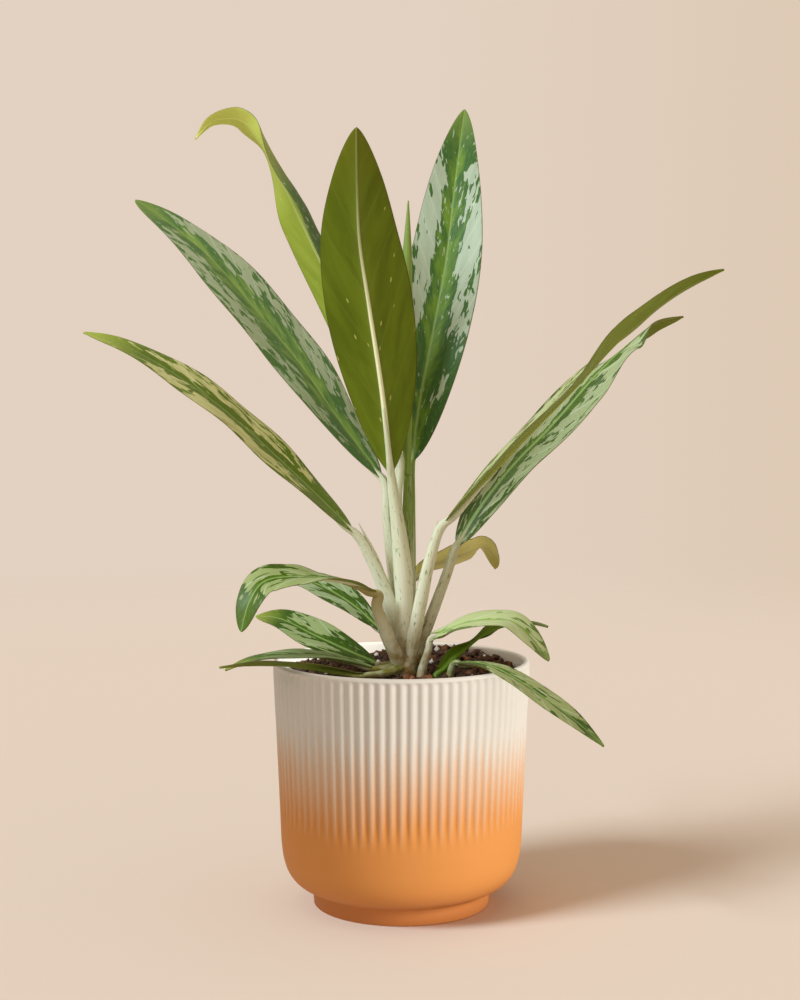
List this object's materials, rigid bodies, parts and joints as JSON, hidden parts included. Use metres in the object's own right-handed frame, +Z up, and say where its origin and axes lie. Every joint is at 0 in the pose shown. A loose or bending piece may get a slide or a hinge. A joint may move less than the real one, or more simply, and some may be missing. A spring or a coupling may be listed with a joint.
{
  "type": "potted aglaonema house plant",
  "caption": "Potted chinese evergreen: lance-shaped silver and green marbled leaves on pale stalks, in soil in a fluted ivory to orange ombre pot.",
  "frame": {"origin": "centre of the flat underside of the pot", "axes": "+Z up along the pot's axis, -Y towards the front of the pictured plant, +X to the right"},
  "size_m": [0.3516, 0.1706, 0.4742],
  "materials": {
    "pot_ceramic": "matte",
    "potting_mix": "rough",
    "stalk": "satin",
    "leaf_marbled": "satin"
  },
  "bodies": {
    "root": {"pot": "pot_ceramic", "soil": "potting_mix", "main_stem": "stalk", "leaf_front_tall": "leaf_marbled", "leaf_right_tall": "leaf_marbled", "leaf_left_tall": "leaf_marbled", "leaf_left_long": "leaf_marbled", "leaf_left_mid": "leaf_marbled", "leaf_right_folded": "leaf_marbled", "leaf_right_long": "leaf_marbled", "leaf_back_right": "leaf_marbled", "leaf_left_arch": "leaf_marbled", "leaf_left_back": "leaf_marbled", "leaf_left_low": "leaf_marbled", "leaf_left_rim": "leaf_marbled", "leaf_left_under": "leaf_marbled", "stalk_right_arch": "stalk", "leaf_right_arch": "leaf_marbled", "stalk_right_ribbon": "stalk", "leaf_right_ribbon": "leaf_marbled", "stalk_right_drape": "stalk", "leaf_right_drape": "leaf_marbled", "leaf_spear": "leaf_marbled"}
  },
  "joints": []
}
